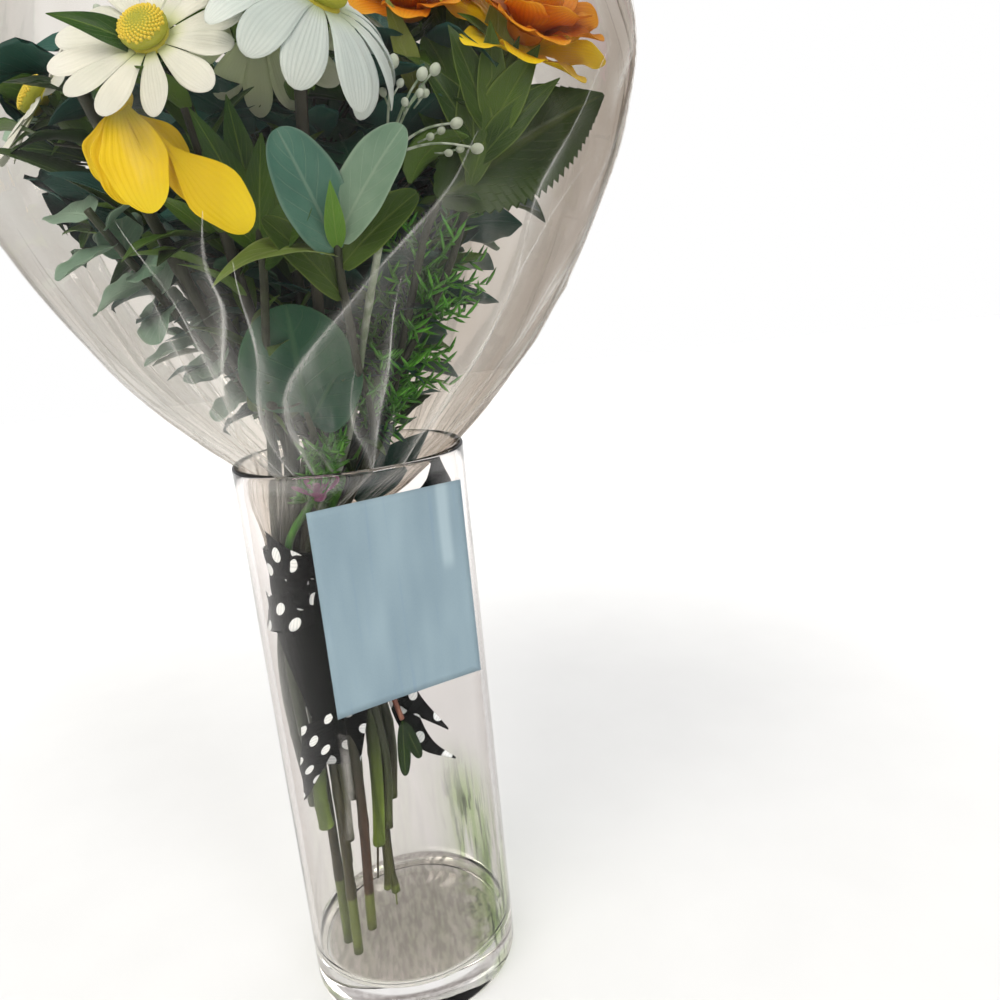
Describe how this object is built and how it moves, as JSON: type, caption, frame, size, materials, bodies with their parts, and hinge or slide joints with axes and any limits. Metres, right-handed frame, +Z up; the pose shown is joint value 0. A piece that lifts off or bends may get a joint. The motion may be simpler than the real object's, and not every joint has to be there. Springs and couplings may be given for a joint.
{
  "type": "flower bouquet",
  "caption": "Mixed bouquet of daisies, yellow and orange blooms and leaves in clear film, tied with a dotted ribbon and standing in a glass vase.",
  "frame": {"origin": "centre of the underside of the vase", "axes": "+Z up along the vase; -Y towards the front, where the note is; +X to the right seen from the front"},
  "size_m": [0.266, 0.266, 0.507],
  "materials": {
    "glass": "clear, polished",
    "note_paper": "matte",
    "film": "clear, glossy, creased",
    "ribbon": "ribbed, with round white dots",
    "petal_white": "matte",
    "disc_yellow": "grainy",
    "petal_yellow": "satin",
    "petal_orange": "satin",
    "petal_pink": "matte",
    "stem_green": "matte",
    "leaf_green": "matte",
    "leaf_dark": "matte",
    "leaf_sage": "matte",
    "leaf_teal": "matte",
    "fern_green": "matte",
    "filler_pale": "matte",
    "bark_red": "matte"
  },
  "bodies": {
    "root": {"glass_vase": "glass", "paper_note": "note_paper", "film_wrapper": "film", "daisy_1_disc": "disc_yellow", "daisy_1_petals": "petal_white", "daisy_2_disc": "disc_yellow", "daisy_2_petals": "petal_white", "daisy_3_disc": "disc_yellow", "daisy_3_petals": "petal_white", "daisy_4_disc": "disc_yellow", "daisy_4_petals": "petal_white", "daisy_5_disc": "disc_yellow", "daisy_5_petals": "petal_white", "yellow_1_petals": "petal_yellow", "yellow_2_petals": "petal_yellow", "orange_1_outer": "petal_yellow", "orange_1_petals": "petal_orange", "orange_2_petals": "petal_orange", "orange_3_petals": "petal_orange", "pink_1_petals": "petal_pink", "pink_2_petals": "petal_pink", "daisy_1_stem": "stem_green", "daisy_2_stem": "stem_green", "daisy_3_stem": "stem_green", "daisy_4_stem": "stem_green", "daisy_5_stem": "stem_green", "yellow_1_stem": "stem_green", "yellow_2_stem": "stem_green", "orange_1_stem": "stem_green", "orange_2_stem": "stem_green", "orange_3_stem": "stem_green", "pink_1_stem": "stem_green", "pink_2_stem": "stem_green", "serrated_leaf_1": "leaf_dark", "serrated_leaf_2": "leaf_dark", "serrated_leaf_3": "leaf_dark", "sage_leaves_1": "leaf_sage", "sage_leaves_2": "leaf_sage", "round_leaves_1": "leaf_sage", "round_leaves_2": "leaf_sage", "large_round_leaf": "leaf_green", "dim_leaves_1": "leaf_teal", "dim_leaves_2": "leaf_teal", "dim_leaves_3": "leaf_teal", "lance_leaves_1": "leaf_green", "fern_1": "fern_green", "fern_2": "fern_green", "fern_3": "fern_green", "filler_1": "filler_pale", "filler_2": "filler_pale", "ribbon": "ribbon", "sprig_stalk": "bark_red", "sprig_leaves": "leaf_green"}
  },
  "joints": []
}
